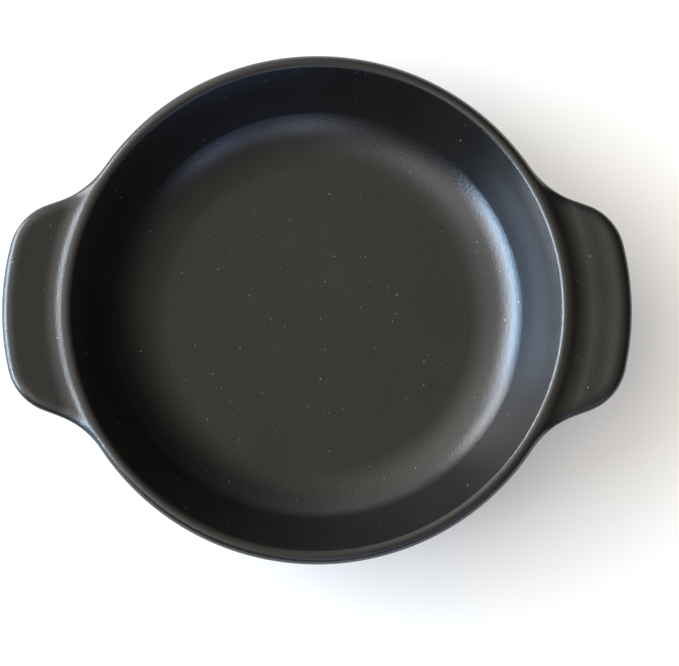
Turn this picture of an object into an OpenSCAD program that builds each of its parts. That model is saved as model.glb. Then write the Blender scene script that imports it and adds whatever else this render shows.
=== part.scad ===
// Round gratin dish with two lug handles, one piece of glazed stoneware.
// The dish stands on its foot ring at z = 0, its axis is Z, and the lugs point along +X and -X.

/* [Dish] */
// Diameter over the rim, without the lugs
rim_d = 180; // [160:1:220]
// Height from the table to the top of the rim
height = 33; // [28:0.5:45]
// Thickness of the floor
floor_t = 5.3; // [4:0.1:8]

/* [Rim] */
// Width of the rim, from its outer edge to the inner wall
rim_w = 4.9; // [4.5:0.1:5.6]
// How far below the crest the outer wall runs out at the rim's edge
rim_lip = 4.4; // [3.8:0.1:5]
// Radius of the rim's inner corner, from the crest to the inner wall
inner_corner_r = 2.6; // [2:0.1:3]

/* [Walls] */
// Slope of the inner wall, in degrees above level
inner_slope = 54; // [50:1:58]
// Slope of the outer wall, in degrees above level
outer_slope = 56; // [50:1:60]
// Radius of the tight turn at the foot of the inner wall
wall_foot_r = 4; // [3:0.5:8]
// Radius of the wide curve that runs out on the floor
floor_curve_r = 27; // [20:1:32]
// Slope at which the wide curve passes into the tight turn, in degrees
curve_change = 44; // [36:1:47]
// Radius of the belly between the base and the outer wall
belly_r = 16; // [8:1:18]
// Rise of the base between the foot ring and the belly, in degrees
base_rise = 8; // [4:1:12]

/* [Foot ring] */
// How far in the foot ring stands from where the outer wall would run out on the base
foot_inset = 7.6; // [7.2:0.2:14]
// Width of the foot ring where it leaves the base
foot_w = 6; // [5:0.5:9]
// Height of the foot ring, which is the depth of the hollow under the base
foot_h = 2.2; // [1.5:0.1:3]
// Draft of each side of the foot ring
foot_draft = 0.6; // [0.3:0.1:1]
// Radius of the bare edges of the foot ring
foot_edge_r = 0.8; // [0.4:0.1:1.2]
// Radius where the foot ring leaves the base
foot_root_r = 1.2; // [0.5:0.1:1.5]

/* [Lug handles] */
// Reach of a lug beyond the rim
lug_reach = 20; // [16:0.5:26]
// Width of a lug at half its reach
lug_w = 69.2; // [60:0.2:80]
// Draw of each side of a lug towards its tip, in degrees
lug_draw = 20; // [12:1:26]
// Radius of the tip's edge, seen from above
lug_tip_r = 97.4; // [80:0.2:110]
// Radius of the two outer corners, seen from above
lug_corner_r = 20.1; // [14:0.1:22]
// Radius of the hollow curves that run into the rim, seen from above
lug_blend_r = 30.8; // [20:0.2:36]
// Thickness of a lug where its top is lowest
lug_t = 4.6; // [4.2:0.1:6.4]
// Drop of the lowest part of a lug's top below the crest of the rim
lug_drop = 2; // [1:0.1:3]
// Radius of the shoulder that falls from the crest
shoulder_r = 4.6; // [4:0.1:6.5]
// Radius of the hollow between the shoulder and the lug's top
hollow_r = 10; // [7:0.5:14]
// Rise of the lug's top from the hollow to its tip, in degrees
lug_lift = 5.5; // [0:0.5:8]
// Width of the rolled edge round a lug
lug_roll = 4.6; // [3.2:0.1:5]
// Radius of the fillet between a lug's underside and the wall
lug_fillet_r = 8; // [5:0.5:10]
// Reach beyond the rim at which a lug has its full thickness
lug_fade = 8; // [6:0.5:10]

/* [Hidden] */

GLAZE = [0.13, 0.13, 0.13];
ROUND_FN = 180;
// Pieces in one roll, one arc of the lug's outline and one step from the wall to the roll
ROLL_N = 6;
TIP_N = 8;
CORNER_N = 8;
SIDE_N = 2;
BLEND_N = 9;
SPAN_N = 12;
// A lug is rooted this far inside the rim and under the crest, so that it crosses their skins
ROOT_IN = 0.3;
ROOT_SINK = 0.14;
ROOT_EASE = 3;
// The root ends inside the wall: this far in from the crest, and with this slope under the lug
ROOT_W = 4.5;
ROOT_SLOPE = 40;
ROOT_CORE = 0.6;

rim_r = rim_d / 2;
crest_r = rim_r - rim_w + inner_corner_r * sin(inner_slope);
rim_roll = rim_r - crest_r;
floor_z = foot_h + floor_t;

function unit(v) = v / norm(v);
function ease(t) = let (x = max(0, min(1, t))) x * x * (3 - 2 * x);

// Points of an arc about c, both ends included, angles in degrees
function arc(c, r, from, to, n) =
    [for (i = [0:n]) let (a = from + (to - from) * i / n) c + r * [cos(a), sin(a)]];

// Points that round the corner p between a and b
function rounded(a, p, b, r, n) =
    let (
        u = unit(a - p),
        v = unit(b - p),
        half = acos(u * v) / 2,
        c = p + unit(u + v) * r / sin(half),
        s = p + u * r / tan(half) - c,
        e = p + v * r / tan(half) - c,
        from = atan2(s.y, s.x),
        turn = atan2(e.y, e.x) - from
    )
    arc(c, r, from, from + (turn > 180 ? turn - 360 : turn < -180 ? turn + 360 : turn), n);

// Drop of the top surface below the crest at radius r: a shoulder, a hollow, then a slow rise
shoulder_a = acos(1 - lug_drop / (shoulder_r + hollow_r));
shoulder_end = crest_r + shoulder_r * sin(shoulder_a);
valley_r = shoulder_end + hollow_r * sin(shoulder_a);
hollow_end = valley_r + hollow_r * sin(lug_lift);
function drop(r) =
    r <= crest_r ? 0
    : r < shoulder_end ? shoulder_r - sqrt(shoulder_r ^ 2 - (r - crest_r) ^ 2)
    : r < hollow_end ? lug_drop - hollow_r + sqrt(hollow_r ^ 2 - (valley_r - r) ^ 2)
    : lug_drop - hollow_r * (1 - cos(lug_lift)) - (r - hollow_end) * tan(lug_lift);

// The outer wall's height at radius r, run out to the rim's edge
lip_z = height - rim_lip;
function wall_z(r) = lip_z - (rim_r - r) * tan(outer_slope);

// Half the thickness of the rim's edge, which its roll takes up
rim_half = (height - drop(rim_r) - lip_z) / 2;

// The inside, from the crest in to the axis
wall_top = [rim_r - rim_w, height - inner_corner_r * (1 - cos(inner_slope))];
wall_foot_z = floor_z + floor_curve_r * (1 - cos(curve_change))
    + wall_foot_r * (cos(curve_change) - cos(inner_slope));
wall_foot = [wall_top.x - (wall_top.y - wall_foot_z) / tan(inner_slope), wall_foot_z];
turn_c = wall_foot + wall_foot_r * [-sin(inner_slope), cos(inner_slope)];
floor_c = turn_c + (floor_curve_r - wall_foot_r) * [-sin(curve_change), cos(curve_change)];
inside = concat(
    arc([crest_r, height - inner_corner_r], inner_corner_r, 90, 90 + inner_slope, 7),
    arc(turn_c, wall_foot_r, inner_slope - 90, curve_change - 90, 3),
    arc(floor_c, floor_curve_r, curve_change - 90, -90, 10),
    [[0, floor_z]]
);

// The underside and the outside, from the axis out to the top of the wall
foot_r = rim_r - (lip_z - foot_h) / tan(outer_slope) - foot_inset;
foot_in_r = foot_r - foot_w;
belly_x = (foot_h - lip_z - foot_r * tan(base_rise) + rim_r * tan(outer_slope))
    / (tan(outer_slope) - tan(base_rise));
hollow_p = [foot_in_r, foot_h];
foot_in_p = [foot_in_r + foot_draft, 0];
foot_out_p = [foot_r - foot_draft, 0];
foot_top_p = [foot_r, foot_h];
belly_p = [belly_x, wall_z(belly_x)];
wall_end = [crest_r, wall_z(crest_r)];
outside = concat(
    [[0, foot_h]],
    rounded([0, foot_h], hollow_p, foot_in_p, foot_root_r, 3),
    rounded(hollow_p, foot_in_p, foot_out_p, foot_edge_r, 4),
    rounded(foot_in_p, foot_out_p, foot_top_p, foot_edge_r, 4),
    rounded(foot_out_p, foot_top_p, belly_p, foot_root_r, 3),
    rounded(foot_top_p, belly_p, wall_end, belly_r, 8)
);

// The rolled edge of the rim, from the outer wall round to the crest
function roll_r(a) = rim_r - rim_roll * (1 - cos(a));
rim_edge = concat(
    [for (i = [ROLL_N:-1:0]) let (a = 90 * i / ROLL_N, r = roll_r(a))
        [r, wall_z(r) + rim_half * (1 - sin(a))]],
    [for (i = [1:ROLL_N - 1]) let (a = 90 * i / ROLL_N, r = roll_r(a))
        [r, height - drop(r) - rim_half * (1 - sin(a))]]
);

module bowl() {
    rotate_extrude($fn = ROUND_FN) polygon(concat(outside, rim_edge, inside));
}

// Half of a lug's outline seen from above, from the middle of the tip to the rim:
// each station is a point on the edge and the direction from it into the lug
tip_c = [rim_r + lug_reach - lug_tip_r, 0];
side_p = [rim_r + lug_reach / 2, lug_w / 2];
side_d = [cos(lug_draw), -sin(lug_draw)];
side_n = [sin(lug_draw), cos(lug_draw)];
root_r = rim_r - ROOT_IN;
// Where a line through p along side_d is at distance r from c, the outer one of the two
function reach(p, c, r) =
    let (q = p - c, b = q * side_d) p + side_d * (-b + sqrt(b ^ 2 - q * q + r ^ 2));
corner_c = reach(side_p - lug_corner_r * side_n, tip_c, lug_tip_r - lug_corner_r);
blend_c = reach(side_p + lug_blend_r * side_n, [0, 0], root_r + lug_blend_r);
corner_a = atan2(corner_c.y - tip_c.y, corner_c.x - tip_c.x);
blend_a = atan2(-blend_c.y, -blend_c.x);

function stations_on(c, r, from, to, n, into) =
    [for (i = [1:n]) let (a = from + (to - from) * i / n, d = [cos(a), sin(a)])
        [c + r * d, into * d]];
corner_end = corner_c + lug_corner_r * side_n;
blend_start = blend_c - lug_blend_r * side_n;
half_outline = concat(
    [[tip_c + [lug_tip_r, 0], [-1, 0]]],
    stations_on(tip_c, lug_tip_r, 0, corner_a, TIP_N, -1),
    stations_on(corner_c, lug_corner_r, corner_a, 90 - lug_draw, CORNER_N, -1),
    [for (i = [1:SIDE_N]) [corner_end + (blend_start - corner_end) * i / SIDE_N, -side_n]],
    stations_on(blend_c, lug_blend_r, -90 - lug_draw, blend_a, BLEND_N, 1)
);
last = len(half_outline) - 1;
outline = concat(
    [for (i = [last:-1:1]) let (s = half_outline[i]) [[s[0].x, -s[0].y], [s[1].x, -s[1].y]]],
    half_outline
);

// Share of the lug's full section at a station whose edge is at radius r
function fullness(r) = ease((r - rim_r) / lug_fade);

// Underside of a lug at radius r: level, then a fillet that runs down into the wall
function under_z(r, full) =
    let (
        fall = (lug_drop + lug_t - rim_lip) * full,
        fr = lug_fillet_r * full,
        end = rim_r - fall / tan(outer_slope) + fr * tan(outer_slope / 2),
        bend = fr * sin(ROOT_SLOPE),
        x = max(0, end - r)
    )
    lip_z - fall - (x < bend
        ? fr - sqrt(fr ^ 2 - x ^ 2)
        : fr * (1 - cos(ROOT_SLOPE)) + (x - bend) * tan(ROOT_SLOPE));

// Top of a lug at radius r: the shoulder, hidden under the crest and in the wall at its root
function over_z(r) =
    min(
        height - drop(r) - ROOT_SINK * (1 - ease((r - crest_r - ROOT_SINK) / ROOT_EASE)),
        height - ROOT_CORE + (r - crest_r) * tan(inner_slope)
    );

// The section of a lug at a station, as a loop: over the top from the root out to the edge,
// round the rolled edge, and back in along the underside
function lug_section(s) =
    let (
        edge_r = norm(s[0]),
        full = fullness(edge_r),
        roll = rim_roll + (lug_roll - rim_roll) * full,
        half = (over_z(edge_r) - under_z(edge_r, full)) / 2,
        inner = s[0] + roll * s[1],
        root = unit(inner) * (crest_r - ROOT_W),
        // Places from the edge in to the root, seen from above, with the roll's share of each
        places = concat(
            [for (i = [0:ROLL_N]) let (a = 90 * i / ROLL_N)
                [s[0] + roll * (1 - cos(a)) * s[1], 1 - sin(a)]],
            [for (i = [1:SPAN_N]) let (t = i / SPAN_N)
                [inner + (root - inner) * t * (3 - t) / 2, 0]]
        ),
        n = len(places) - 1
    )
    concat(
        [for (i = [n:-1:0]) let (p = places[i][0])
            [p.x, p.y, over_z(norm(p)) - half * places[i][1]]],
        [for (i = [1:n]) let (p = places[i][0])
            [p.x, p.y, under_z(norm(p), full) + half * places[i][1]]]
    );

module lug() {
    loops = [for (s = outline) lug_section(s)];
    n = len(loops[0]);
    edge = (n - 1) / 2;
    last_loop = (len(loops) - 1) * n;
    skin = [for (i = [0:n:last_loop - n], j = [0:n - 1]) let (k = (j + 1) % n)
        each [[i + k, i + j, i + n + k], [i + j, i + n + j, i + n + k]]];
    // The two ends are closed in rungs between the top and the underside
    function rung(from, k) = k == 1
        ? [from + edge - 1, from + edge, from + edge + 1]
        : [from + edge - k, from + edge - k + 1, from + edge + k - 1, from + edge + k];
    function turned(face) = [for (i = [len(face) - 1:-1:0]) face[i]];
    first_end = [for (k = [1:edge]) rung(0, k)];
    last_end = [for (k = [1:edge]) turned(rung(last_loop, k))];
    polyhedron([for (loop = loops) each loop], concat(skin, first_end, last_end));
}

module dish() {
    color(GLAZE) union() {
        bowl();
        lug();
        rotate([0, 0, 180]) lug();
    }
}

dish();
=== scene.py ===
# %% [markdown]
# # A black gratin dish in Blender
#
# The object is a shallow round baking dish with two lug handles, pressed and fired as one
# piece of stoneware under a satin black glaze. There is only one body to model, so the whole
# lesson is about one continuous surface, about how a very dark glaze shows its form through
# reflections alone, and about the small marks that the kiln leaves on it.
#
# The CAD model is loaded first. It is the fixed frame: every size below repeats one of its
# sizes, and the finished piece lies where its solid lies, to within a quarter of a millimetre.

# %% Load the frame
import math

import bmesh
import bpy
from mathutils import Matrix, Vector


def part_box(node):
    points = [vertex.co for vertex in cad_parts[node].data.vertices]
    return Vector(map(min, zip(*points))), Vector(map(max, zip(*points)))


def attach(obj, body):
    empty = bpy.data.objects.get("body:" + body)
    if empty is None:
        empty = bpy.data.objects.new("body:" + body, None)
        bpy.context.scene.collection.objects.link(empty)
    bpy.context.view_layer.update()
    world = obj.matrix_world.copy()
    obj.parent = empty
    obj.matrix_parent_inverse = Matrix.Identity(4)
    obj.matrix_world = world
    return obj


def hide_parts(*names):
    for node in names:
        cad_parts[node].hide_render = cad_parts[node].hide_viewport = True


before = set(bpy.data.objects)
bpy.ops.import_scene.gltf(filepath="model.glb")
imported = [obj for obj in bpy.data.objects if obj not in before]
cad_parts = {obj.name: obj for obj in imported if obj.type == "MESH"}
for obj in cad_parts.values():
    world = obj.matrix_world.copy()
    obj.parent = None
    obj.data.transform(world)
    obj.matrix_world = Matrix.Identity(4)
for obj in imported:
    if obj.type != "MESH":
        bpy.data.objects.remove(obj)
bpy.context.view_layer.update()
BODY = "root"
NODE = "dish"

# %% [markdown]
# ## The potter's measures
#
# Blender works in metres and a potter thinks in millimetres, so each size is written in
# millimetres and multiplied once. What the CAD box already says, such as the height and the
# diameter over the rim, is read from it and not typed again. The names are those that the CAD
# source uses, so a size can be followed from one file to the other.

# %% Sizes of the dish
MM = 0.001
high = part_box(NODE)[1]
HEIGHT = high.z
RIM_R = high.y
LUG_REACH = high.x - high.y

RIM_W = 4.9 * MM
RIM_LIP = 4.4 * MM
INNER_CORNER_R = 2.6 * MM

FLOOR_T = 5.3 * MM
INNER_SLOPE = math.radians(54)
OUTER_SLOPE = math.radians(56)
WALL_FOOT_R = 4 * MM
FLOOR_CURVE_R = 27 * MM
CURVE_CHANGE = math.radians(44)
BELLY_R = 16 * MM
BASE_RISE = math.radians(8)

FOOT_INSET = 7.6 * MM
FOOT_W = 6 * MM
FOOT_H = 2.2 * MM
FOOT_DRAFT = 0.6 * MM
FOOT_EDGE_R = 0.8 * MM
FOOT_ROOT_R = 1.2 * MM

LUG_W = 69.2 * MM
LUG_DRAW = math.radians(20)
LUG_TIP_R = 97.4 * MM
LUG_CORNER_R = 20.1 * MM
LUG_BLEND_R = 30.8 * MM
LUG_T = 4.6 * MM
LUG_DROP = 2 * MM
SHOULDER_R = 4.6 * MM
HOLLOW_R = 10 * MM
LUG_LIFT = math.radians(5.5)
LUG_ROLL = 4.6 * MM
LUG_FILLET_R = 8 * MM
LUG_FADE = 8 * MM

CREST_R = RIM_R - RIM_W + INNER_CORNER_R * math.sin(INNER_SLOPE)
RIM_ROLL = RIM_R - CREST_R
LIP_Z = HEIGHT - RIM_LIP
FLOOR_Z = FOOT_H + FLOOR_T
print(f"rim {2 * RIM_R / MM:.1f} mm, over the lugs {2 * high.x / MM:.1f} mm, "
      f"{HEIGHT / MM:.1f} mm high")

# %% [markdown]
# ## One class for node maths
#
# A node tree written link by link is hard to read. Here a small class wraps an output socket
# and overloads the operators, so that `1 - mask * 0.5` adds its own Math nodes. When a vector
# or a colour is involved it adds a Vector Math node instead, because a Math node would turn a
# colour grey. Every other node comes from the one method `node`, which sets the node's own
# settings first and then fills or links its inputs. The same class serves the Geometry Nodes
# tree that shapes the dish and the shader trees that finish it.

# %% The class


class Wire:
    """An output socket of a node tree, or, without a socket, the tree itself."""

    def __init__(self, tree, socket=None):
        self.tree = tree
        self.socket = socket

    def node(self, kind, settings=None, inputs=None, output=0):
        """Adds a node, sets it up, fills or links its inputs and returns one of its outputs."""
        made = self.tree.nodes.new(kind)
        for name, value in (settings or {}).items():
            setattr(made, name, value)
        for key, value in (inputs or {}).items():
            self.fill(made.inputs[key], value)
        return Wire(self.tree, made.outputs[output])

    def fill(self, socket, value):
        """Links a wire to an input socket, or writes a plain value into it."""
        if isinstance(value, Wire):
            self.tree.links.new(value.socket, socket)
        elif hasattr(socket.default_value, "__len__") and not hasattr(value, "__len__"):
            socket.default_value = [value] * len(socket.default_value)
        else:
            socket.default_value = value

    def maths(self, operation, *values):
        """A Math node, or a Vector Math node where a value is a vector or a colour."""
        is_vector = any(
            isinstance(v, Vector) or isinstance(v, Wire) and v.socket.type in ("VECTOR", "RGBA")
            for v in values
        )
        kind = "ShaderNodeVectorMath" if is_vector else "ShaderNodeMath"
        return self.node(kind, {"operation": operation}, dict(enumerate(values)))

    def __add__(self, other):
        return self.maths("ADD", self, other)

    def __radd__(self, other):
        return self.maths("ADD", other, self)

    def __sub__(self, other):
        return self.maths("SUBTRACT", self, other)

    def __rsub__(self, other):
        return self.maths("SUBTRACT", other, self)

    def __mul__(self, other):
        return self.maths("MULTIPLY", self, other)

    def __rmul__(self, other):
        return self.maths("MULTIPLY", other, self)

    def __truediv__(self, other):
        return self.maths("DIVIDE", self, other)

    def root(self):
        return self.maths("SQRT", self)

    def above(self, other):
        return self.maths("GREATER_THAN", self, other)

    def at_least(self, other):
        return self.maths("MAXIMUM", self, other)

    def at_most(self, other):
        return self.maths("MINIMUM", self, other)

    def exponent(self):
        return self.maths("EXPONENT", self)

    def dot(self, other):
        return self.node("ShaderNodeVectorMath", {"operation": "DOT_PRODUCT"},
                         {0: self, 1: other}, "Value")

    def length(self):
        return self.node("ShaderNodeVectorMath", {"operation": "LENGTH"}, {0: self}, "Value")

    def unit(self):
        return self.node("ShaderNodeVectorMath", {"operation": "NORMALIZE"}, {0: self})

    def step(self, start, end):
        """0 below start, 1 above end, and a smooth rise between them."""
        return self.node(
            "ShaderNodeMapRange",
            {"interpolation_type": "SMOOTHSTEP"},
            {"Value": self, "From Min": start, "From Max": end},
        )

    def parts(self):
        """The x, y and z of a vector."""
        split = self.node("ShaderNodeSeparateXYZ", inputs={0: self}).socket.node
        return [Wire(self.tree, out) for out in split.outputs]

    def vector(self, x, y, z):
        return self.node("ShaderNodeCombineXYZ", inputs={0: x, 1: y, 2: z})


print("node maths ready")

# %% [markdown]
# ## The outline seen from above
#
# Seen from above the dish is a circle with a lug on each side. A lug's outline is a chain of
# arcs that touch: a wide arc at the tip, a corner, a straight side that draws in, and a hollow
# curve that runs into the rim. It could be drawn as a Bezier curve and adjusted by eye, but
# arcs that touch are how a mould maker would scribe it, and each of them has one radius that
# can be measured on the photograph. The outline is closed and mirrored, so one quarter is
# worked out and the rest follows.

# %% Arcs of the outline


def on_arc(centre, radius, start, end, count):
    """Points of an arc, both ends included, angles in radians."""
    angles = [start + (end - start) * i / count for i in range(count + 1)]
    return [centre + radius * Vector((math.cos(a), math.sin(a))) for a in angles]


def reach_along(point, direction, centre, radius):
    """Where a line through point along direction is at radius from centre, the far one."""
    gap = point - centre
    along = gap.dot(direction)
    return point + direction * (-along + math.sqrt(along**2 - gap.dot(gap) + radius**2))


def quarter_outline(spacing):
    """(point, direction into the dish) pairs from the tip of the lug to the top of the rim."""
    tip = Vector((RIM_R + LUG_REACH - LUG_TIP_R, 0))
    middle = Vector((RIM_R + LUG_REACH / 2, LUG_W / 2))
    side = Vector((math.cos(LUG_DRAW), -math.sin(LUG_DRAW)))
    outward = Vector((math.sin(LUG_DRAW), math.cos(LUG_DRAW)))
    axis = Vector((0, 0))
    corner = reach_along(middle - LUG_CORNER_R * outward, side, tip, LUG_TIP_R - LUG_CORNER_R)
    blend = reach_along(middle + LUG_BLEND_R * outward, side, axis, RIM_R + LUG_BLEND_R)
    corner_turn = math.atan2(corner.y - tip.y, corner.x - tip.x)
    blend_turn = math.atan2(-blend.y, -blend.x)
    rim_turn = math.atan2(blend.y, blend.x)
    side_turn = math.pi / 2 - LUG_DRAW

    def arc(centre, radius, start, end, into):
        count = max(2, round(abs(end - start) * radius / spacing))
        return [(p, into * (p - centre).normalized())
                for p in on_arc(centre, radius, start, end, count)]

    line_start = corner + LUG_CORNER_R * outward
    line_end = blend - LUG_BLEND_R * outward
    count = max(2, round((line_end - line_start).length / spacing))
    straight = [(line_start.lerp(line_end, i / count), -outward) for i in range(1, count)]
    return (
        arc(tip, LUG_TIP_R, 0, corner_turn, -1)[:-1]
        + arc(corner, LUG_CORNER_R, corner_turn, side_turn, -1)
        + straight
        + arc(blend, LUG_BLEND_R, side_turn - math.pi, blend_turn, 1)
        + arc(axis, RIM_R, rim_turn, math.pi / 2, -1)[1:]
    )


def whole_outline(spacing):
    """The closed outline, anticlockwise from the tip of the lug at +X."""
    quarter = quarter_outline(spacing)

    def flip(pairs, x, y):
        return [tuple(Vector((v.x * x, v.y * y)) for v in pair) for pair in pairs]

    return (
        quarter
        + flip(quarter[-2::-1], -1, 1)
        + flip(quarter[1:], -1, -1)
        + flip(quarter[-2:0:-1], 1, -1)
    )


STATION_SPACING = 1.14 * MM
outline = whole_outline(STATION_SPACING)
print(len(outline), "stations on the outline")

# %% [markdown]
# ## The rib
#
# A jigger arm carries a steel rib, cut to the section of the pot, and the turning mould
# brings the clay past it. The rib here is a string of points from the middle of the floor, up
# the wall, over the rim, down the outside and in to the middle of the base. Most points have a
# fixed radius and height. The points between the crest and the outer wall are free: at the
# lugs they move out to the outline, so they store only how far along the way they are.
#
# Each point carries these numbers as mesh attributes:
#
# - `away` and `level`: where it is, for a fixed point, or where its free stretch starts
# - `reach`: how far it has gone from that radius to the start of the rolled edge
# - `out`: how far it has gone across the rolled edge
# - `lift`: its share of the edge's half thickness
# - `under` and `free`: on the underside or not, free or fixed
#
# The wall is not quite straight. Half way up, the sponge that smoothed the clay on the wheel
# has left one shallow ring, an eighth of a millimetre deep, and the glaze shows it as a pale
# band in the window's reflection. It could be a bump in the material, but a real move of the
# rib's points also holds from a low angle.
#
# A tight curve needs more points than a long flat one, so each stretch has its own count.

# %% Points of the rib
RING_DEPTH = 0.13 * MM
EDGE_ROOT = 4 * MM

FLOOR_STEPS, FLOOR_CURVE_STEPS, WALL_FOOT_STEPS = 9, 16, 4
WALL_STEPS, CORNER_STEPS = 18, 14
REACH_STEPS, ROLL_STEPS = 16, 10
SKIRT_STEPS, BELLY_STEPS, FOOT_STEPS, BASE_STEPS = 10, 12, 5, 6


def turned(centre_r, centre_z, radius, start, end, count):
    """Fixed points of an arc in the section, angles in degrees from level."""
    centre = Vector((centre_r, centre_z))
    return [tuple(p) for p in
            on_arc(centre, radius, math.radians(start), math.radians(end), count)]


def rounded(before, corner, after, radius, count):
    """Fixed points that round a corner of the section."""
    a, p, b = Vector(before), Vector(corner), Vector(after)
    u, v = (a - p).normalized(), (b - p).normalized()
    half = math.acos(u.dot(v)) / 2
    centre = p + (u + v).normalized() * radius / math.sin(half)
    start = p + u * radius / math.tan(half) - centre
    end = p + v * radius / math.tan(half) - centre
    first = math.atan2(start.y, start.x)
    turn = (math.atan2(end.y, end.x) - first + math.pi) % (2 * math.pi) - math.pi
    return [tuple(q) for q in on_arc(centre, radius, first, first + turn, count)]


def between(start, end, count):
    """Fixed points inside a straight stretch, without its ends."""
    a, b = Vector(start), Vector(end)
    return [tuple(a.lerp(b, i / count)) for i in range(1, count)]


def wall_z(radius):
    """Height of the outer wall at a radius, run out to the rim's edge."""
    return LIP_Z - (RIM_R - radius) * math.tan(OUTER_SLOPE)


def ringed(points, start_r, end_r):
    """Wall points moved in and out by one wave between two radii."""
    moved = []
    for radius, level in points:
        turn = 2 * math.pi * (radius - (start_r + end_r) / 2) / (end_r - start_r)
        inwards = RING_DEPTH * math.sin(turn)
        moved.append((radius - inwards * math.sin(INNER_SLOPE),
                      level + inwards * math.cos(INNER_SLOPE)))
    return moved


def inside_points():
    """From the middle of the floor up to just under the crest."""
    corner_z = HEIGHT - INNER_CORNER_R
    wall_top = (RIM_R - RIM_W, corner_z + INNER_CORNER_R * math.cos(INNER_SLOPE))
    foot_z = (FLOOR_Z + FLOOR_CURVE_R * (1 - math.cos(CURVE_CHANGE))
              + WALL_FOOT_R * (math.cos(CURVE_CHANGE) - math.cos(INNER_SLOPE)))
    foot_r = wall_top[0] - (wall_top[1] - foot_z) / math.tan(INNER_SLOPE)
    turn_r = foot_r - WALL_FOOT_R * math.sin(INNER_SLOPE)
    turn_z = foot_z + WALL_FOOT_R * math.cos(INNER_SLOPE)
    wide = FLOOR_CURVE_R - WALL_FOOT_R
    floor_r = turn_r - wide * math.sin(CURVE_CHANGE)
    floor_z = turn_z + wide * math.cos(CURVE_CHANGE)
    slope, change = math.degrees(INNER_SLOPE), math.degrees(CURVE_CHANGE)
    return (
        [(0, FLOOR_Z)]
        + between((0, FLOOR_Z), (floor_r, FLOOR_Z), FLOOR_STEPS)
        + turned(floor_r, floor_z, FLOOR_CURVE_R, -90, change - 90, FLOOR_CURVE_STEPS)
        + turned(turn_r, turn_z, WALL_FOOT_R, change - 90, slope - 90, WALL_FOOT_STEPS)[1:]
        + ringed(between((foot_r, foot_z), wall_top, WALL_STEPS), foot_r, wall_top[0])
        + turned(CREST_R, corner_z, INNER_CORNER_R, 90 + slope, 90, CORNER_STEPS)[:-1]
    )


def outside_points(start_r):
    """From start_r on the outer wall down and in to the middle of the base."""
    foot_r = RIM_R - (LIP_Z - FOOT_H) / math.tan(OUTER_SLOPE) - FOOT_INSET
    in_r = foot_r - FOOT_W
    rise, steep = math.tan(BASE_RISE), math.tan(OUTER_SLOPE)
    belly_r = (FOOT_H - LIP_Z - foot_r * rise + RIM_R * steep) / (steep - rise)
    start = (start_r, wall_z(start_r))
    belly, foot_top = (belly_r, wall_z(belly_r)), (foot_r, FOOT_H)
    foot_out, foot_in = (foot_r - FOOT_DRAFT, 0), (in_r + FOOT_DRAFT, 0)
    hollow, middle = (in_r, FOOT_H), (0, FOOT_H)
    bend = rounded(start, belly, foot_top, BELLY_R, BELLY_STEPS)
    return (
        between(start, bend[0], SKIRT_STEPS)
        + bend
        + rounded(belly, foot_top, foot_out, FOOT_ROOT_R, FOOT_STEPS)
        + rounded(foot_top, foot_out, foot_in, FOOT_EDGE_R, FOOT_STEPS)
        + rounded(foot_out, foot_in, hollow, FOOT_EDGE_R, FOOT_STEPS)
        + rounded(foot_in, hollow, middle, FOOT_ROOT_R, FOOT_STEPS)
        + between((in_r - 2 * FOOT_ROOT_R, FOOT_H), middle, BASE_STEPS)
        + [middle]
    )


def rib_rows():
    """Every point of the rib, as a dictionary of its attributes."""
    def fixed(point, under):
        return {"away": point[0], "level": point[1], "reach": 0, "out": 0, "lift": 0,
                "under": under, "free": 0}

    def free(radius, reach, out, lift, under):
        return {"away": radius, "level": 0, "reach": reach, "out": out, "lift": lift,
                "under": under, "free": 1}

    root_r = CREST_R - EDGE_ROOT
    quarter = [math.pi / 2 * i / ROLL_STEPS for i in range(ROLL_STEPS + 1)]
    over = [free(CREST_R, i / REACH_STEPS, 0, 0, 0) for i in range(REACH_STEPS)]
    edge_over = [free(CREST_R, 1, math.sin(a), 1 - math.cos(a), 0) for a in quarter]
    edge_under = [free(root_r, 1, math.cos(a), 1 - math.sin(a), 1) for a in quarter[1:]]
    back = [free(root_r, 1 - i / REACH_STEPS, 0, 0, 1) for i in range(1, REACH_STEPS + 1)]
    return (
        [fixed(p, 0) for p in inside_points()]
        + over + edge_over + edge_under + back
        + [fixed(p, 1) for p in outside_points(root_r)]
    )


rows = rib_rows()
print(len(rows), "points on the rib,", len(rows) * len(outline), "in the dish")

# %% [markdown]
# ## Guide meshes
#
# Geometry Nodes reads the outline and the rib as two strings of edges. Both are plain meshes
# whose points carry attributes, because an attribute travels with its point into the swept
# surface and can be read there by name. The rib's own points stand a millimetre above each
# other, only so that no two of them fall together. The attributes say where they belong.

# %% Make the two guides


def guide(name, points, closed, attributes):
    """A string of edges with an attribute of floats or vectors for each name."""
    mesh = bpy.data.meshes.new(name)
    edges = [(i, i + 1) for i in range(len(points) - 1)]
    mesh.from_pydata(points, edges + ([(len(points) - 1, 0)] if closed else []), [])
    for key, values in attributes.items():
        is_vector = hasattr(values[0], "__len__")
        made = mesh.attributes.new(key, "FLOAT_VECTOR" if is_vector else "FLOAT", "POINT")
        flat = [x for v in values for x in v] if is_vector else values
        made.data.foreach_set("vector" if is_vector else "value", flat)
    made = bpy.data.objects.new(name, mesh)
    bpy.context.scene.collection.objects.link(made)
    return made


edge_points = [(p.x, p.y, 0) for p, inward in outline]
rail = guide("outline_guide", edge_points, True, {
    "edge": edge_points,
    "inward": [(inward.x, inward.y, 0) for p, inward in outline],
})
rib = guide("rib_guide", [(row["away"], 0, row["level"] + i * MM) for i, row in enumerate(rows)],
            False, {key: [row[key] for row in rows] for key in rows[0]})
print("guides made")

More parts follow.
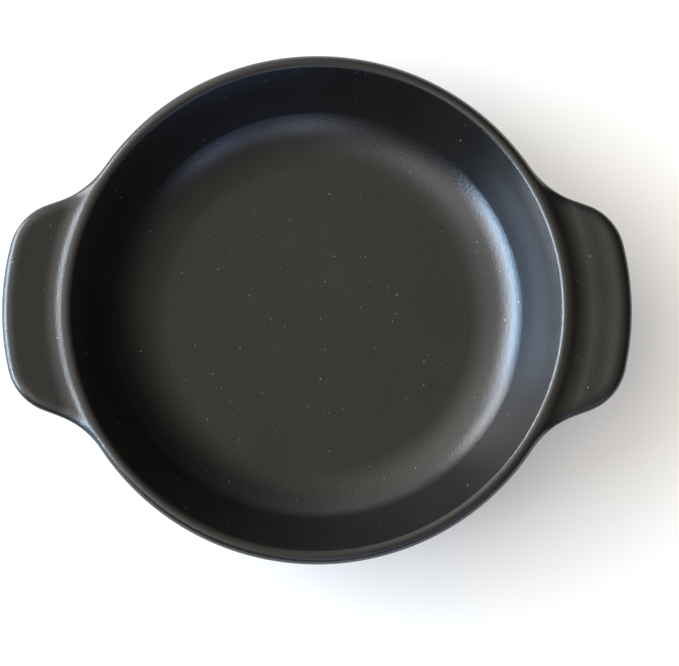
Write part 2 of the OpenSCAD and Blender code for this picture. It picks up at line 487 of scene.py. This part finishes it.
# %% [markdown]
# ## The dish, shaped by Geometry Nodes
#
# The surface follows a rule, so a node tree shapes it: Curve to Mesh sweeps the rib along the
# outline, which gives a grid of faces, and Set Position then moves every point to the place
# that the rule gives it. A spin would make the bowl but not the lugs, and lugs joined on with
# a boolean would leave a seam where the real clay has none.
#
# The rule, at a station of the outline:
#
# - The further the outline stands beyond the rim, the fuller the lug's section is.
# - A spoke runs from the axis to the start of the rolled edge.
# - A fixed point lies on the spoke at its own radius and height.
# - A free point of the top falls from the crest in a shoulder and a hollow to the lug's top.
# - A free point of the underside is level and runs down a fillet into the outer wall.
# - The rolled edge is a quarter of an ellipse above and below, half the section thick.
#
# Two soft marks belong to the making. The top of the lug at +X is not flat but wavers by a
# twelfth of a millimetre, where a thumb smoothed it, and the other lug wavers far less, because
# no two strokes are the same. And a very small move inwards along the normal makes the whole
# surface a little uneven, as a glazed pot is, which a satin glaze shows in the edges of its
# highlights. The foot ring is left out of that, because it is ground flat.
#
# The tree also writes one attribute for the glaze. `thin` is 1 along the crest and round every
# rolled edge, where molten glaze runs off and leaves a thinner coat, and 0 elsewhere.

# %% The tree
LUG_WAVE = 0.048 * MM
LUG_WAVE_LENGTH = 8.4 * MM
WAVE_LEAN = 0.75
UNEVEN = 0.16 * MM
UNEVEN_SCALE = 28.0
UNEVEN_TOP = 0.85
THIN_REACH = 2.4 * MM
FOOT_CLEAR = (0.05, 0.2)


def add_inputs(tree, sizes):
    """Names the tree's inputs and outputs and returns the group's input wires by name."""
    face = tree.interface
    face.new_socket("Geometry", in_out="OUTPUT", socket_type="NodeSocketGeometry")
    face.new_socket("Outline", in_out="INPUT", socket_type="NodeSocketGeometry")
    face.new_socket("Rib", in_out="INPUT", socket_type="NodeSocketObject")
    face.new_socket("Glaze", in_out="INPUT", socket_type="NodeSocketMaterial")
    for name in sizes:
        face.new_socket(name, in_out="INPUT", socket_type="NodeSocketFloat")
    group = tree.nodes.new("NodeGroupInput")
    return {out.name: Wire(tree, out) for out in group.outputs if out.name}


def dish_tree(sizes):
    """The node tree that sweeps the rib along the outline and shapes the dish."""
    tree = bpy.data.node_groups.new("press_the_dish", "GeometryNodeTree")
    put = add_inputs(tree, sizes)
    start = Wire(tree)

    def read(name, kind="FLOAT"):
        return start.node("GeometryNodeInputNamedAttribute", {"data_type": kind},
                          {"Name": name}, "Attribute")

    rail_curve = start.node("GeometryNodeMeshToCurve", inputs={0: put["Outline"]})
    rib_mesh = start.node("GeometryNodeObjectInfo", inputs={"Object": put["Rib"]},
                          output="Geometry")
    rib_curve = start.node("GeometryNodeMeshToCurve", inputs={0: rib_mesh})
    swept = start.node("GeometryNodeCurveToMesh", inputs={0: rail_curve, 1: rib_curve})

    rim, crest, height = put["Rim radius"], put["Crest radius"], put["Height"]
    lip, slope = put["Lip height"], put["Wall slope"]
    shoulder, hollow, drop = put["Shoulder radius"], put["Hollow radius"], put["Lug drop"]
    lift = put["Lug lift"]

    edge, inward = read("edge", "FLOAT_VECTOR"), read("inward", "FLOAT_VECTOR")
    side = edge.parts()[0] / edge.length()
    full = (edge.length() - rim).step(0, put["Lug fade"])
    roll = put["Rim roll"] + (put["Lug roll"] - put["Rim roll"]) * full
    roll_start = edge + inward * roll
    spoke = roll_start.unit()

    turn = (1 - drop / (shoulder + hollow)).maths("ARCCOSINE", 1 - drop / (shoulder + hollow))
    sine, cosine = turn.maths("SINE", turn), turn.maths("COSINE", turn)

    def over_z(radius):
        down = (radius - crest).at_least(0).at_most(shoulder * sine)
        valley = crest + (shoulder + hollow) * sine
        lift_r = hollow * lift.maths("SINE", lift)
        left = (valley - radius).at_least(lift_r * -1).at_most(hollow * sine)
        fall = shoulder - (shoulder * shoulder - down * down).root()
        rise = hollow - (hollow * hollow - left * left).root()
        beyond = (radius - valley - lift_r).at_least(0)
        turn = beyond * math.tau / put["Lug wave length"]
        waver = turn.maths("SINE", turn) * put["Lug wave"] * (1 + side * WAVE_LEAN)
        return (height - fall - hollow * (1 - cosine) + rise + waver
                + beyond * lift.maths("TANGENT", lift))

    def under_z(radius):
        level = (height - drop - put["Lug thickness"] - lip) * full
        fillet = put["Lug fillet"] * full
        steep = slope.maths("TANGENT", slope)
        half_turn = (slope / 2).maths("TANGENT", slope / 2)
        end = rim + level / steep + fillet * half_turn
        run = (end - radius).at_least(0)
        bend = run.at_most(fillet * slope.maths("SINE", slope))
        arc = fillet - (fillet * fillet - bend * bend).root()
        return lip + level - arc - (run - bend) * steep

    edge_r = edge.length()
    half = (over_z(edge_r) - under_z(edge_r)) / 2
    fixed_r = read("away")
    along = fixed_r + (roll_start.length() - fixed_r) * read("reach")
    place = spoke * along + (edge - roll_start) * read("out")
    radius = place.length()
    share = read("lift") * half
    above, below = over_z(radius) - share, under_z(radius) + share
    free_z = above + (below - above) * read("under")
    fixed_z = read("level")
    x, y = place.parts()[:2]
    shaped = start.node("GeometryNodeSetPosition", inputs={
        "Geometry": swept,
        "Position": start.vector(x, y, fixed_z + (free_z - fixed_z) * read("free")),
    })
    off_crest = (radius - crest) / put["Thin reach"]
    on_crest = (off_crest * off_crest * -1).exponent() * (1 - read("under"))
    marked = start.node("GeometryNodeStoreNamedAttribute",
                        {"data_type": "FLOAT", "domain": "POINT"},
                        {"Geometry": shaped, "Name": "thin",
                         "Value": on_crest.at_least(read("lift"))})
    closed = start.node("GeometryNodeMergeByDistance",
                        inputs={"Geometry": marked, "Distance": put["Merge"]})

    here = start.node("GeometryNodeInputPosition")
    wave = start.node("ShaderNodeTexNoise", {"noise_dimensions": "4D"}, {
        "Vector": here, "W": put["Seed"], "Scale": put["Uneven scale"], "Detail": 1.0,
    })
    near, clear = (put["Lip height"] * share for share in FOOT_CLEAR)
    off_foot = here.parts()[2].step(near, clear)
    normal = start.node("GeometryNodeInputNormal")
    uneven = start.node("GeometryNodeSetPosition", inputs={
        "Geometry": closed, "Offset": normal * ((wave - UNEVEN_TOP) * put["Uneven"] * off_foot),
    })
    smooth = start.node("GeometryNodeSetShadeSmooth", inputs={0: uneven})
    real = start.node("GeometryNodeRealizeInstances", inputs={0: smooth})
    glazed = start.node("GeometryNodeSetMaterial", inputs={0: real, "Material": put["Glaze"]})
    out = tree.nodes.new("NodeGroupOutput")
    start.fill(out.inputs["Geometry"], glazed)
    return tree


DISH_SIZES = {
    "Rim radius": RIM_R, "Crest radius": CREST_R, "Height": HEIGHT, "Lip height": LIP_Z,
    "Wall slope": OUTER_SLOPE, "Shoulder radius": SHOULDER_R, "Hollow radius": HOLLOW_R,
    "Lug drop": LUG_DROP, "Lug lift": LUG_LIFT, "Lug thickness": LUG_T, "Lug fade": LUG_FADE,
    "Lug roll": LUG_ROLL, "Lug fillet": LUG_FILLET_R, "Rim roll": RIM_ROLL,
    "Lug wave": LUG_WAVE, "Lug wave length": LUG_WAVE_LENGTH, "Thin reach": THIN_REACH,
    "Uneven": UNEVEN, "Uneven scale": UNEVEN_SCALE, "Merge": 0.0005 * MM, "Seed": 7.0,
}
shape_tree = dish_tree(DISH_SIZES)
print(len(shape_tree.nodes), "nodes shape the dish")

# %% [markdown]
# ## The glaze
#
# A satin black glaze is glass full of iron and manganese. It absorbs nearly all the light that
# enters it, so its own colour is only a hundredth of white, slightly warm, and what the eye
# sees is the soft mirror of its surface. A single black with one roughness would look like
# plastic. What makes it fired clay is small and uneven:
#
# - The colour drifts a little in clouds a centimetre wide, because the coat was poured.
# - Where `thin` is high, the brown body below warms the black.
# - A grain just under a millimetre wide, where tiny crystals break the surface, roughens the
#   edges of the highlights, over a faint orange peel a few millimetres wide.
# - Fine lines run round the wall and the rim, left by the turning under the coat.
# - Small specks sit in the coat, most of them pale and faint and a few rusty, where grit or
#   iron in the clay came through. Their cells fill space, so they stay round on a steep wall.
# - The foot ring was wiped clean before firing, so bare clay shows there, dull and sandy.
#
# The colour and roughness come from solid noise on the object's own coordinates, so there is
# no seam and nothing stretches. A fourth coordinate of each cloudy noise is its seed. The
# refractive index is 1.65, because a metal rich glaze mirrors more than window glass. It is the
# same everywhere, so it is set on the shader.

# %% Colours and grain of the glaze
GLAZE_BLACK = (0.0082, 0.0077, 0.0071, 1)
GLAZE_CLOUD = (0.0062, 0.0060, 0.0059, 1)
GLAZE_THIN = (0.0128, 0.0106, 0.0090, 1)
SPECK_PALE = (0.60, 0.57, 0.52, 1)
SPECK_RUST = (0.21, 0.11, 0.06, 1)
CLAY = (0.33, 0.245, 0.17, 1)
CLAY_DARK = (0.22, 0.155, 0.105, 1)

GLAZE_IOR = 1.65
GLAZE_ROUGH = 0.25
CLAY_ROUGH = 0.88

CLOUD_SIZE = 14 * MM
PEEL_SIZE = 3.2 * MM
GRAIN_SIZE = 0.8 * MM
PEEL_HEIGHT = 0.012 * MM
GRAIN_HEIGHT = 0.08 * MM

TURN_SIZE = 1.3 * MM
TURN_HEIGHT = 0.030 * MM

SPECK_CELL = 1.6 * MM
SPECK_R = 0.17 * MM
SPECK_SHARE = 0.11
SPECK_SHIFT = Vector((31, 17, 5)) * MM
RUST_SHARE = 0.22
SPECK_FAINT = 0.12
BARE_BELOW = 1.1 * MM
WIPE_DRIFT = 0.8 * MM
WIPE_SOFT = 0.08 * MM
CLAY_RELIEF = 0.05 * MM

# Where a soft mask starts and ends, on the scale of what it is made from.
CLOUD_SPAN = (0.35, 0.65)
WORN_SPAN = (0.25, 1.1)
SPECK_GONE = (0.3, 0.6)
SAND_SPAN = (0.38, 0.66)
TURN_SPAN = (0.4, 0.6)

# How much the clouds, the grain and the specks move the roughness.
CLOUD_ROUGH = 0.05
GRAIN_ROUGH = 0.05
SPECK_ROUGH = 0.2
print("glaze roughness", GLAZE_ROUGH, "refractive index", GLAZE_IOR)

# %% Glaze material


def new_material(name):
    """An empty node material, and its tree as a wire."""
    material = bpy.data.materials.new(name)
    material.use_nodes = True
    material.node_tree.nodes.clear()
    return material, Wire(material.node_tree)


def finish_material(start, shader):
    out = start.tree.nodes.new("ShaderNodeOutputMaterial")
    start.fill(out.inputs["Surface"], shader)


def noise_on(place, size, detail, seed):
    """Noise with features about as wide as size, from 0 to 1 round 0.5."""
    return place.node("ShaderNodeTexNoise", {"noise_dimensions": "4D"}, {
        "Vector": place, "W": seed, "Scale": 1 / size, "Detail": detail, "Roughness": 0.55,
    })


def mixed(mask, first, second):
    """One colour where the mask is 0 and another where it is 1."""
    return mask.node("ShaderNodeMix", {"data_type": "RGBA"},
                     {"Factor": mask, "A": first, "B": second}, "Result")


def turned_on(place):
    """Fine lines left by turning: they run round the axis, on the wall and the rim alone."""
    x, y, z = place.parts()
    away = place.vector(x, y, 0)
    lines = place.node("ShaderNodeTexNoise", {"noise_dimensions": "4D"}, {
        "Vector": away.unit() * 2.0, "W": (away.length() + z) / TURN_SIZE, "Scale": 1.0,
        "Detail": 2, "Roughness": 0.6,
    })
    low_wall, high_wall = (HEIGHT * share for share in TURN_SPAN)
    on_wall = z.step(low_wall, high_wall) * (1 - away.length().step(RIM_R - MM, RIM_R))
    return (lines - 0.5) * on_wall


def specks_on(place):
    """A mask of small round specks, most of them faint, and a random number for each."""
    cell = place.node("ShaderNodeTexVoronoi", {"voronoi_dimensions": "3D"}, {
        "Vector": place + SPECK_SHIFT, "Scale": 1 / SPECK_CELL, "Randomness": 1.0,
    }).socket.node
    distance = Wire(place.tree, cell.outputs["Distance"]) * SPECK_CELL
    pick, shade, size = Wire(place.tree, cell.outputs["Color"]).parts()
    radius = SPECK_R * (0.7 + shade * 0.7)
    near = 1 - distance.step(radius * 0.7, radius * 1.1)
    strength = SPECK_FAINT + size * size * (1 - SPECK_FAINT)
    return near * (1 - pick.above(SPECK_SHARE)) * strength, shade


def glaze_material():
    """Satin black glaze over stoneware, bare on the foot ring."""
    material, start = new_material("satin_black_glaze")
    place = start.node("ShaderNodeTexCoord", output="Object")
    thin = start.node("ShaderNodeAttribute", {"attribute_name": "thin"}, output="Fac")
    clouds = noise_on(place, CLOUD_SIZE, 3, 2)
    peel = noise_on(place, PEEL_SIZE, 1, 5)
    grain = noise_on(place, GRAIN_SIZE, 2, 9)

    colour = mixed(clouds.step(*CLOUD_SPAN), GLAZE_CLOUD, GLAZE_BLACK)
    worn = (thin * (0.55 + clouds * 0.9)).step(*WORN_SPAN)
    colour = mixed(worn, colour, GLAZE_THIN)
    specks, shade = specks_on(place)
    specks = specks * (1 - thin.step(*SPECK_GONE))
    colour = mixed(specks, colour, mixed(shade.above(1 - RUST_SHARE), SPECK_PALE, SPECK_RUST))

    z = place.parts()[2]
    wiped = BARE_BELOW + (clouds - 0.5) * WIPE_DRIFT
    bare = 1 - z.step(wiped - WIPE_SOFT, wiped + WIPE_SOFT)
    sand = mixed(grain.step(*SAND_SPAN), CLAY_DARK, CLAY)
    colour = mixed(bare, colour, sand)

    gloss = (GLAZE_ROUGH + (clouds - 0.5) * CLOUD_ROUGH + (grain - 0.5) * GRAIN_ROUGH
             + specks * SPECK_ROUGH)
    roughness = gloss + (CLAY_ROUGH - gloss) * bare
    relief = ((peel - 0.5) * PEEL_HEIGHT + (grain - 0.5) * (GRAIN_HEIGHT + bare * CLAY_RELIEF)
              + turned_on(place) * TURN_HEIGHT)
    normal = start.node("ShaderNodeBump", inputs={
        "Height": relief, "Distance": 1.0, "Strength": 1.0,
    })
    surface = start.node("ShaderNodeBsdfPrincipled", inputs={
        "Base Color": colour, "Roughness": roughness, "IOR": GLAZE_IOR, "Normal": normal,
    })
    finish_material(start, surface)
    return material


glaze = glaze_material()
print(len(glaze.node_tree.nodes), "nodes in the glaze")

# %% [markdown]
# ## Press the dish
#
# The tree runs on the outline guide as a modifier. Its inputs are set by each socket's
# identifier, because a name on the socket is only a label. The result is kept as a plain mesh,
# and the guides, which are tools and not part of the dish, are thrown away. The measured
# volume and the count of open edges show that the body is closed all round.

# %% Press the dish


def evaluated_mesh(source, name):
    """The result of an object's modifiers as a plain mesh in an object of its own."""
    graph = bpy.context.evaluated_depsgraph_get()
    mesh = bpy.data.meshes.new_from_object(source.evaluated_get(graph))
    mesh.name = name
    made = bpy.data.objects.new(name, mesh)
    bpy.context.scene.collection.objects.link(made)
    return made


def press_dish():
    """Runs the tree on the outline guide and keeps its mesh."""
    modifier = rail.modifiers.new("press", "NODES")
    modifier.node_group = shape_tree
    sockets = {item.name: item.identifier for item in shape_tree.interface.items_tree
               if item.in_out == "INPUT"}
    modifier[sockets["Rib"]] = rib
    modifier[sockets["Glaze"]] = glaze
    for name, value in DISH_SIZES.items():
        modifier[sockets[name]] = value
    made = evaluated_mesh(rail, "dish_body")
    rail.modifiers.clear()
    for spare in (rail, rib):
        bpy.data.objects.remove(spare)
    return made


dish = press_dish()
for name in [*rows[0], "edge", "inward"]:
    if name in dish.data.attributes:
        dish.data.attributes.remove(dish.data.attributes[name])


def close_and_measure(piece):
    """Turns the faces outwards and returns the volume and the number of open edges."""
    work = bmesh.new()
    work.from_mesh(piece.data)
    if work.calc_volume(signed=True) < 0:
        bmesh.ops.reverse_faces(work, faces=work.faces)
    work.to_mesh(piece.data)
    found = work.calc_volume(signed=True), sum(not e.is_manifold for e in work.edges)
    work.free()
    return found


volume, open_edges = close_and_measure(dish)
print(f"{len(dish.data.polygons)} faces, {volume * 1e6:.1f} cm3, {open_edges} open edges")
print("attributes kept:", [a.name for a in dish.data.attributes])
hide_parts(NODE)
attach(dish, BODY)

# %% [markdown]
# ## The table
#
# The dish stands on a plain white table. The table has to be white and still keep the soft
# shadow on the side away from the window. More light would make it white, but it would also
# wash out the glaze. So the table is matt white paint that takes the light and the shadow,
# and its material adds a little plain white for the camera and for mirror rays alone. Rays
# that carry soft light back to the dish see only the matt paint.

# %% Table material and plane
TABLE_PAINT = (0.865, 0.838, 0.803, 1)
TABLE_GLOW = 0.25
TABLE_HALF = 3.0


def table_material():
    """Matt white paint, with some plain white added for the camera and for reflections."""
    material, start = new_material("white_table")
    paint = start.node("ShaderNodeBsdfDiffuse", inputs={"Color": TABLE_PAINT})
    ray = start.node("ShaderNodeLightPath").socket.node
    seen = [Wire(start.tree, ray.outputs[f"Is {kind} Ray"])
            for kind in ("Camera", "Glossy", "Transmission")]
    share = (seen[0] + seen[1] + seen[2]).at_most(1) * TABLE_GLOW
    glow = start.node("ShaderNodeEmission", inputs={"Color": (1, 1, 1, 1), "Strength": share})
    finish_material(start, start.node("ShaderNodeAddShader", inputs={0: paint, 1: glow}))
    return material


def make_table():
    mesh = bpy.data.meshes.new("table")
    corners = [(-1, -1), (1, -1), (1, 1), (-1, 1)]
    mesh.from_pydata([(x * TABLE_HALF, y * TABLE_HALF, 0) for x, y in corners], [],
                     [(0, 1, 2, 3)])
    mesh.materials.append(table_material())
    made = bpy.data.objects.new("table", mesh)
    bpy.context.scene.collection.objects.link(made)
    return made


table = make_table()
print("table", 2 * TABLE_HALF, "m wide")

# %% [markdown]
# ## The camera
#
# The dish is seen from almost straight above, nine degrees towards the near side, which is
# what pushes the floor a little towards the reader against the rim. The lens is given as a
# scale, in pixels for one metre at the height of the rim, because that is what can be measured
# on a picture: the dish is 220 mm long and takes up 630 pixels.

# %% Camera
PICTURE_W = 679
SENSOR_W = 36
CAMERA_TILT = math.radians(9.0)
CAMERA_DISTANCE = 0.95
AIM = Vector((7.85, -9.75, 33)) * MM
SCALE = 2880


def make_camera():
    data = bpy.data.cameras.new("camera")
    data.sensor_width = SENSOR_W
    data.lens = SENSOR_W * SCALE * CAMERA_DISTANCE / PICTURE_W
    made = bpy.data.objects.new("camera", data)
    bpy.context.scene.collection.objects.link(made)
    made.location = AIM + CAMERA_DISTANCE * Vector(
        (0, -math.sin(CAMERA_TILT), math.cos(CAMERA_TILT)))
    made.rotation_euler = (CAMERA_TILT, 0, 0)
    return made


camera = make_camera()
bpy.context.scene.camera = camera
print(f"lens {camera.data.lens:.0f} mm, {CAMERA_DISTANCE} m away")

# %% [markdown]
# ## The light
#
# A black glaze has almost no colour of its own, so the light is most of the picture. The curve
# between floor and wall works as a mirror that bends: every degree of its slope looks two
# degrees lower into the room. Read from inside to outside, it shows the ceiling, then the pale
# top of a window, then a blue band of sky, then haze, and last the white sill. The wall above
# it is too steep to see the room at all. It shows the sky again, mirrored in the floor.
#
# Area lamps stand for these parts of the window, low on the left, and for its far pane, which
# is plain and paler. The rest of the room is so large and so soft that lamps would need many
# panels. The world shader adds a few wide glows instead, each a lobe of light round one
# direction: exp(narrow * (cosine - 1)) is 1 in the middle and falls off smoothly all round.
#
# The strengths are those that the reflections in the glaze ask for. Together they are somewhat
# above a plain level: a level grey card in the dish's place renders 1.12 times as bright as its
# colour in red, 1.19 times in green and 1.27 times in blue, and the lit table clips to white.

# %% The window
LAMP_DISTANCE = 2.8
WIDEST = 26


def lamp_at(name, azimuths, heights, radiance):
    """An upright area lamp between two azimuths and two elevations, seen from the dish."""
    start, end = (math.radians(a) for a in azimuths)
    low_z, high_z = (LAMP_DISTANCE * math.tan(math.radians(h)) for h in heights)
    towards = Vector((math.cos((start + end) / 2), math.sin((start + end) / 2), 0))
    lamp = bpy.data.lights.new(name, "AREA")
    lamp.shape = "RECTANGLE"
    lamp.size = 2 * LAMP_DISTANCE * math.tan((end - start) / 2)
    lamp.size_y = high_z - low_z
    peak = max(radiance)
    lamp.color = [c / peak for c in radiance]
    lamp.energy = peak * math.pi * lamp.size * lamp.size_y
    made = bpy.data.objects.new(name, lamp)
    bpy.context.scene.collection.objects.link(made)
    made.location = towards * LAMP_DISTANCE + Vector((0, 0, (low_z + high_z) / 2))
    made.rotation_euler = (-towards).to_track_quat("-Z", "Y").to_euler()
    return lamp


def window_row(name, azimuths, heights, radiance):
    """A row of lamps side by side, like the panes of a bay window."""
    start, end = azimuths
    count = math.ceil((end - start) / WIDEST)
    step = (end - start) / count
    return [lamp_at(f"{name}_{i + 1}", (start + i * step, start + (i + 1) * step), heights,
                    radiance) for i in range(count)]


WINDOW = (
    # name, azimuths, elevations, radiance
    ("sill", (137.0, 203.0), (0.3, 6.0), (14.8, 15.2, 15.6)),
    ("far_pane", (131.0, 153.0), (7.5, 23.0), (8.1, 8.4, 8.9)),
    ("haze", (153.0, 208.5), (11.0, 18.0), (1.3, 2.9, 5.8)),
    ("sky", (153.0, 208.0), (18.0, 24.5), (15.6, 21.9, 28.2)),
    ("top", (148.0, 207.5), (24.5, 37.5), (6.2, 6.3, 6.5)),
)
for row in WINDOW:
    lamps = window_row(*row)
    print(f"{row[0]}: {len(lamps)} lamps, {sum(lamp.energy for lamp in lamps):.0f} W")

# %% The room
GLOWS = (
    # azimuth and elevation it comes from, how narrow it is, colour
    (136.2, 46.0, 9.3, (1.68, 1.63, 1.49)),
    (215.0, 53.2, 20.3, (2.09, 1.97, 1.88)),
    (273.0, 35.5, 50.0, (1.42, 1.54, 1.90)),
    (308.0, 32.0, 85.0, (1.20, 1.42, 2.10)),
    (292.0, 11.0, 15.0, (0.15, 0.27, 0.56)),
    (114.2, -4.9, 6.5, (1.52, 1.43, 1.35)),
    (338.0, 73.6, 4.5, (0.43, 0.40, 0.34)),
)


def room_light():
    """A world whose light is the sum of the glows."""
    world = bpy.data.worlds.new("room")
    world.use_nodes = True
    world.node_tree.nodes.clear()
    start = Wire(world.node_tree)
    direction = start.node("ShaderNodeTexCoord", output="Generated")
    total = Vector((0, 0, 0))
    for azimuth, elevation, narrow, colour in GLOWS:
        turn, rise = math.radians(azimuth), math.radians(elevation)
        centre = Vector((math.cos(rise) * math.cos(turn), math.cos(rise) * math.sin(turn),
                         math.sin(rise)))
        lobe = ((direction.dot(centre) - 1) * narrow).exponent()
        total = lobe * Vector(colour) + total
    background = start.node("ShaderNodeBackground", inputs={"Color": total})
    out = world.node_tree.nodes.new("ShaderNodeOutputWorld")
    start.fill(out.inputs["Surface"], background)
    return world


bpy.context.scene.world = room_light()
bpy.context.scene.view_settings.view_transform = "Standard"
print(len(GLOWS), "glows light the room")
